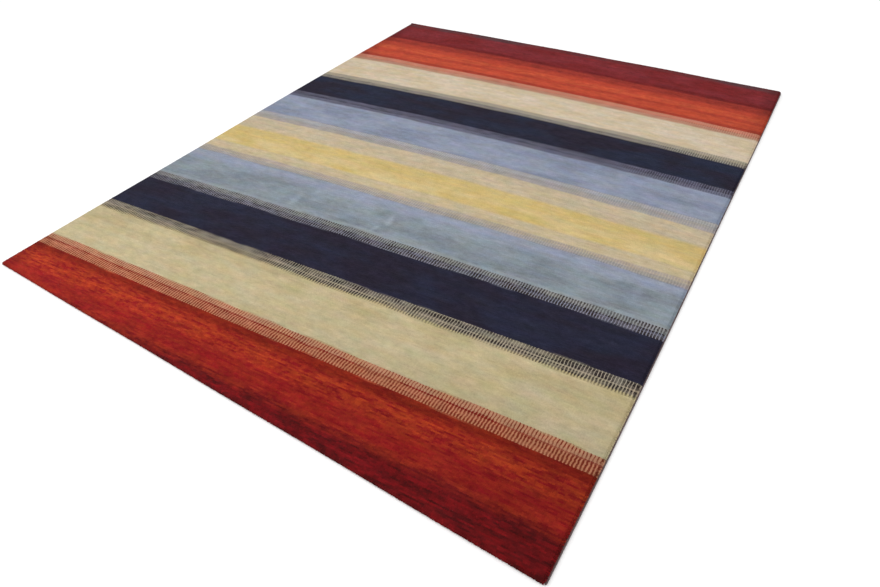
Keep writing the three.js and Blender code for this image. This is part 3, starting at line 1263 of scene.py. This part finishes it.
def make_pile_wool(settings):
    """Cut wool pile in the rug's stripes."""
    knot = settings.pile.knot
    material, bench, shader = new_material("pile wool")
    place = uv_place(bench, "Weave")
    colour, shade = striped_colour(bench, place, knot)
    relief = bench.group("Cut Pile", Place=place, Knot=knot)
    # Painted shade between the tufts and painted light on their tips.
    shade = bench.times(shade, bench.range(relief["Light"], 0.0, 1.0, 0.93, 1.05))
    # Painted sheen: where the nap is brushed the other way it is lighter.
    brush = bench.node("ShaderNodeAttribute", attribute_name="Brushed").outputs["Fac"]
    shade = bench.times(shade, bench.scaled_sum(brush, 0.36, 1.0))
    # Painted shade: the pile darkens the lower it stands, down its rounded rim and on the rim
    # tufts.
    own = bench.node("ShaderNodeTexCoord").outputs["Object"]
    depth = bench.range(bench.apart(own)[2], 2 * MM, 10 * MM, 0.80, 1.0)
    shade = bench.times(shade, depth)
    bench.feed(shader.inputs["Base Color"], scaled_colour(bench, colour, shade))
    bump(bench, shader, relief["Height"], 1.1 * MM, 0.8)
    return material


def make_root_wool(settings):
    """Plain wool where the pile stands in the back, out of sight."""
    material, _, shader = new_material("pile roots")
    shader.inputs["Base Color"].default_value = (*settings.yarns.root, 1)
    return material


def make_back_wool(settings):
    """The underside: the backs of the knots, and plain web on the hems."""
    knot = settings.pile.knot
    web_pitch = 2.4 * MM
    material, bench, shader = new_material("back wool")
    place = uv_place(bench, "Weave")
    colour, shade = striped_colour(bench, place, knot)
    own = bench.node("ShaderNodeTexCoord").outputs["Object"]
    knots = bench.group("Knot Backs", Place=place, Knot=knot)
    weave = bench.group("Plain Weave", Place=own, Pitch=web_pitch)
    web = bench.node("ShaderNodeAttribute", attribute_name="Web").outputs["Fac"]
    # Painted shade between the loops of the knots.
    shade = bench.times(shade, bench.range(knots["Light"], 0.0, 1.0, 0.62, 1.0))
    knotted = scaled_colour(bench, colour, shade)
    # The web's mottled tone, and painted shade where its threads dip under each other.
    mottle = bench.noise(own, (0.05, 0.012), detail=2.0, seed=2)
    web_shade = bench.times(bench.range(mottle, 0.3, 0.7, 0.8, 1.15),
                           bench.range(weave["Height"], 0.0, 0.8, 0.6, 1.05))
    web_colour = scaled_colour(bench, (*settings.yarns.web,), web_shade)
    bench.feed(shader.inputs["Base Color"], bench.mix_colour(web, knotted, web_colour))
    height = bench.mix(web, knots["Height"], weave["Height"])
    bump(bench, shader, height, 0.7 * MM, 0.8)
    return material


def make_cord_wool(settings):
    """Dark yarn wrapped closely round the edge warps."""
    cord, yarns = settings.cord, settings.yarns
    material, bench, shader = new_material("cord wool")
    place = uv_place(bench, "Wrap")
    yarn = bench.group("Plied Yarn", Place=place, Pitch=cord.wrap)
    # Each wrap's own tone, and painted shade that pulls the grooves towards the darker cord
    # colour.
    colour = bench.mix_colour(yarn["Shade"], (*yarns.cord, 1), (*yarns.cord_light, 1))
    bench.feed(shader.inputs["Base Color"], colour)
    bump(bench, shader, yarn["Height"], 0.25 * MM, 0.7)
    return material


def make_stitch_thread(settings):
    """Natural thread with a fine twist."""
    material, bench, shader = new_material("stitch thread")
    own = bench.node("ShaderNodeTexCoord").outputs["Object"]
    x, y, _ = bench.apart(own)
    twist = bench.math("SINE", bench.times(bench.plus(x, y), math.tau / (0.9 * MM)))
    twist = bench.range(twist, -1.0, 1.0)
    patch = bench.noise(own, (0.02, 0.02), detail=2.0, seed=4)
    # Painted shade in the grooves of the twist, times uneven patches of the thread's own tone.
    shade = bench.times(bench.range(twist, 0.0, 1.0, 0.75, 1.0),
                       bench.range(patch, 0.3, 0.7, 0.85, 1.1))
    bench.feed(shader.inputs["Base Color"], scaled_colour(bench, (*settings.yarns.thread,), shade))
    bump(bench, shader, twist, 0.15 * MM, 0.6)
    return material


def make_floor_paint(settings):
    """Plain pale matt floor."""
    material, bench, shader = new_material("floor paint")
    own = bench.node("ShaderNodeTexCoord").outputs["Object"]
    patch = bench.noise(own, (1.5, 1.5), detail=1.0, seed=1)
    shade = bench.range(patch, 0.0, 1.0, 0.995, 1.005)
    bench.feed(shader.inputs["Base Color"], scaled_colour(bench, (*settings.studio.floor,), shade))
    shader.inputs["Sheen Weight"].default_value = 0.0
    return material


# Operators

class RUG_OT_materials(bpy.types.Operator):
    """Build the shared node groups"""

    bl_idname = "rug.materials"
    bl_label = "Wool Node Groups"

    def execute(self, context):
        make_knot_cells_group()
        make_dyeing_group()
        make_comb_group()
        make_stripes_group(scene_settings().yarns)
        make_pile_relief_group()
        make_knotted_back_group()
        make_plain_weave_group()
        make_plied_yarn_group()
        return {"FINISHED"}


class RUG_OT_pile(bpy.types.Operator):
    """Make the cut pile"""

    bl_idname = "rug.pile"
    bl_label = "Pile"

    def execute(self, context):
        settings = scene_settings()
        mesh = make_pile_mesh(settings)
        materials = [make_pile_wool(settings), make_root_wool(settings)]
        pile = add_piece("pile", mesh, materials)
        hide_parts(CLOTH_NODE)
        return {"FINISHED"}


class RUG_OT_rim_tufts(bpy.types.Operator):
    """Make the tufts that lean out round the rim"""

    bl_idname = "rug.rim_tufts"
    bl_label = "Rim Tufts"

    def execute(self, context):
        settings = scene_settings()
        mesh = make_rim_tufts_mesh(settings)
        tufts = add_piece("rim_tufts", mesh, [bpy.data.materials["pile wool"]])
        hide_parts(CLOTH_NODE)
        return {"FINISHED"}


class RUG_OT_woven_back(bpy.types.Operator):
    """Make the woven back with its two hems"""

    bl_idname = "rug.woven_back"
    bl_label = "Woven Back"

    def execute(self, context):
        settings = scene_settings()
        mesh = make_back_mesh(settings)
        materials = [make_back_wool(settings), bpy.data.materials["pile roots"]]
        back = add_piece("woven_back", mesh, materials)
        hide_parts(CLOTH_NODE)
        return {"FINISHED"}


class RUG_OT_hem_stitches(bpy.types.Operator):
    """Make the stitches that fell both hems"""

    bl_idname = "rug.hem_stitches"
    bl_label = "Hem Stitches"

    def execute(self, context):
        settings = scene_settings()
        mesh = make_stitches_mesh(settings)
        stitches = add_piece("hem_stitches", mesh, [make_stitch_thread(settings)])
        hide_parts(CLOTH_NODE)
        return {"FINISHED"}


class RUG_OT_side_cords(bpy.types.Operator):
    """Make the overcast cord down each side"""

    bl_idname = "rug.side_cords"
    bl_label = "Side Cords"

    def execute(self, context):
        settings = scene_settings()
        wool = make_cord_wool(settings)
        for side, node in CORD_NODES.items():
            name = "overcast_" + ("left" if side == LEFT else "right")
            cord = add_piece(name, make_cord_mesh(settings, side), [wool])
            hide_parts(node)
        return {"FINISHED"}


class RUG_OT_declare_cloth(bpy.types.Operator):
    """Read the rug's settings, and nothing more"""

    bl_idname = "rug.declare_cloth"
    bl_label = "Cloth Sizes"

    def execute(self, context):
        settings = scene_settings()
        return {"FINISHED"}


# The softbox: its place, the point that it lights and its width.
SOFTBOX_AT = Vector((-0.7, -1.2, 2.75))
SOFTBOX_AIM = Vector((0.0, -0.1, 0.0))
SOFTBOX_WIDTH = 2.6

# The camera's place, the floor point that it looks at, and how far it is rolled over.
CAMERA_AT = (1.1485, -1.8152, 1.2775)
CAMERA_LOOKS_AT = (0.3588, -0.6259, 0.0)
CAMERA_ROLL = -3.205


class RUG_OT_stage(bpy.types.Operator):
    """Make the floor, the lights and the camera"""

    bl_idname = "rug.stage"
    bl_label = "Stage"

    def execute(self, context):
        settings = scene_settings()
        make_floor(settings)
        make_light(settings)
        make_camera(settings)
        return {"FINISHED"}


def make_floor(settings):
    bm = bmesh.new()
    bmesh.ops.create_circle(bm, cap_ends=True, segments=96, radius=settings.studio.floor_radius)
    floor = new_object("floor", finished_mesh(bm, "floor"))
    floor.data.materials.append(make_floor_paint(settings))


def make_light(settings):
    studio, scene = settings.studio, bpy.context.scene
    world = bpy.data.worlds.new("room light")
    world.use_nodes = True
    sky = world.node_tree.nodes["Background"]
    sky.inputs["Color"].default_value = (1, 1, 1, 1)
    sky.inputs["Strength"].default_value = studio.sky
    scene.world = world
    softbox = bpy.data.lights.new("softbox", "AREA")
    softbox.shape = "DISK"
    softbox.size = SOFTBOX_WIDTH
    softbox.energy = studio.key
    lamp = new_object("softbox", softbox)
    lamp.location = SOFTBOX_AT
    aim = SOFTBOX_AIM - SOFTBOX_AT
    lamp.rotation_euler = aim.to_track_quat("-Z", "Y").to_euler()
    scene.view_settings.view_transform = "Standard"


def make_camera(settings):
    camera = bpy.data.cameras.new("camera")
    camera.lens = settings.studio.lens
    camera.sensor_width = 36
    camera.sensor_fit = "HORIZONTAL"
    camera.clip_end = 200
    holder = new_object("camera", camera)
    aim = Vector(CAMERA_LOOKS_AT) - Vector(CAMERA_AT)
    level = aim.to_track_quat("-Z", "Y").to_matrix().to_4x4()
    roll = Matrix.Rotation(math.radians(CAMERA_ROLL), 4, "Z")
    holder.matrix_world = Matrix.Translation(CAMERA_AT) @ level @ roll
    bpy.context.scene.camera = holder


class RUG_PT_panel(bpy.types.Panel):
    """The rug's pieces and settings"""

    bl_idname = "RUG_PT_panel"
    bl_label = "Loribaft Rug"
    bl_space_type = "VIEW_3D"
    bl_region_type = "UI"
    bl_category = "Rug"

    def draw(self, context):
        for operator in OPERATORS:
            self.layout.operator(operator.bl_idname)
        for name, group in SETTING_GROUPS.items():
            box = self.layout.box()
            box.label(text=group.__doc__)
            for field in group.__annotations__:
                box.prop(getattr(context.scene, "rug_" + name), field)


OPERATORS = (
    RUG_OT_stage,
    RUG_OT_materials,
    RUG_OT_pile,
    RUG_OT_rim_tufts,
    RUG_OT_woven_back,
    RUG_OT_hem_stitches,
    RUG_OT_side_cords,
    RUG_OT_declare_cloth,
)


def register():
    for group in SETTING_GROUPS.values():
        bpy.utils.register_class(group)
    for name, group in SETTING_GROUPS.items():
        setattr(bpy.types.Scene, "rug_" + name, bpy.props.PointerProperty(type=group))
    for operator in OPERATORS:
        bpy.utils.register_class(operator)
    bpy.utils.register_class(RUG_PT_panel)


def unregister():
    bpy.utils.unregister_class(RUG_PT_panel)
    for operator in reversed(OPERATORS):
        bpy.utils.unregister_class(operator)
    for name in SETTING_GROUPS:
        delattr(bpy.types.Scene, "rug_" + name)
    for group in reversed(SETTING_GROUPS.values()):
        bpy.utils.unregister_class(group)


def main():
    register()
    bpy.ops.rug.stage()
    bpy.ops.rug.materials()
    bpy.ops.rug.pile()
    bpy.ops.rug.rim_tufts()
    bpy.ops.rug.woven_back()
    bpy.ops.rug.hem_stitches()
    bpy.ops.rug.side_cords()
    bpy.ops.rug.declare_cloth()


if __name__ == "__main__":
    main()
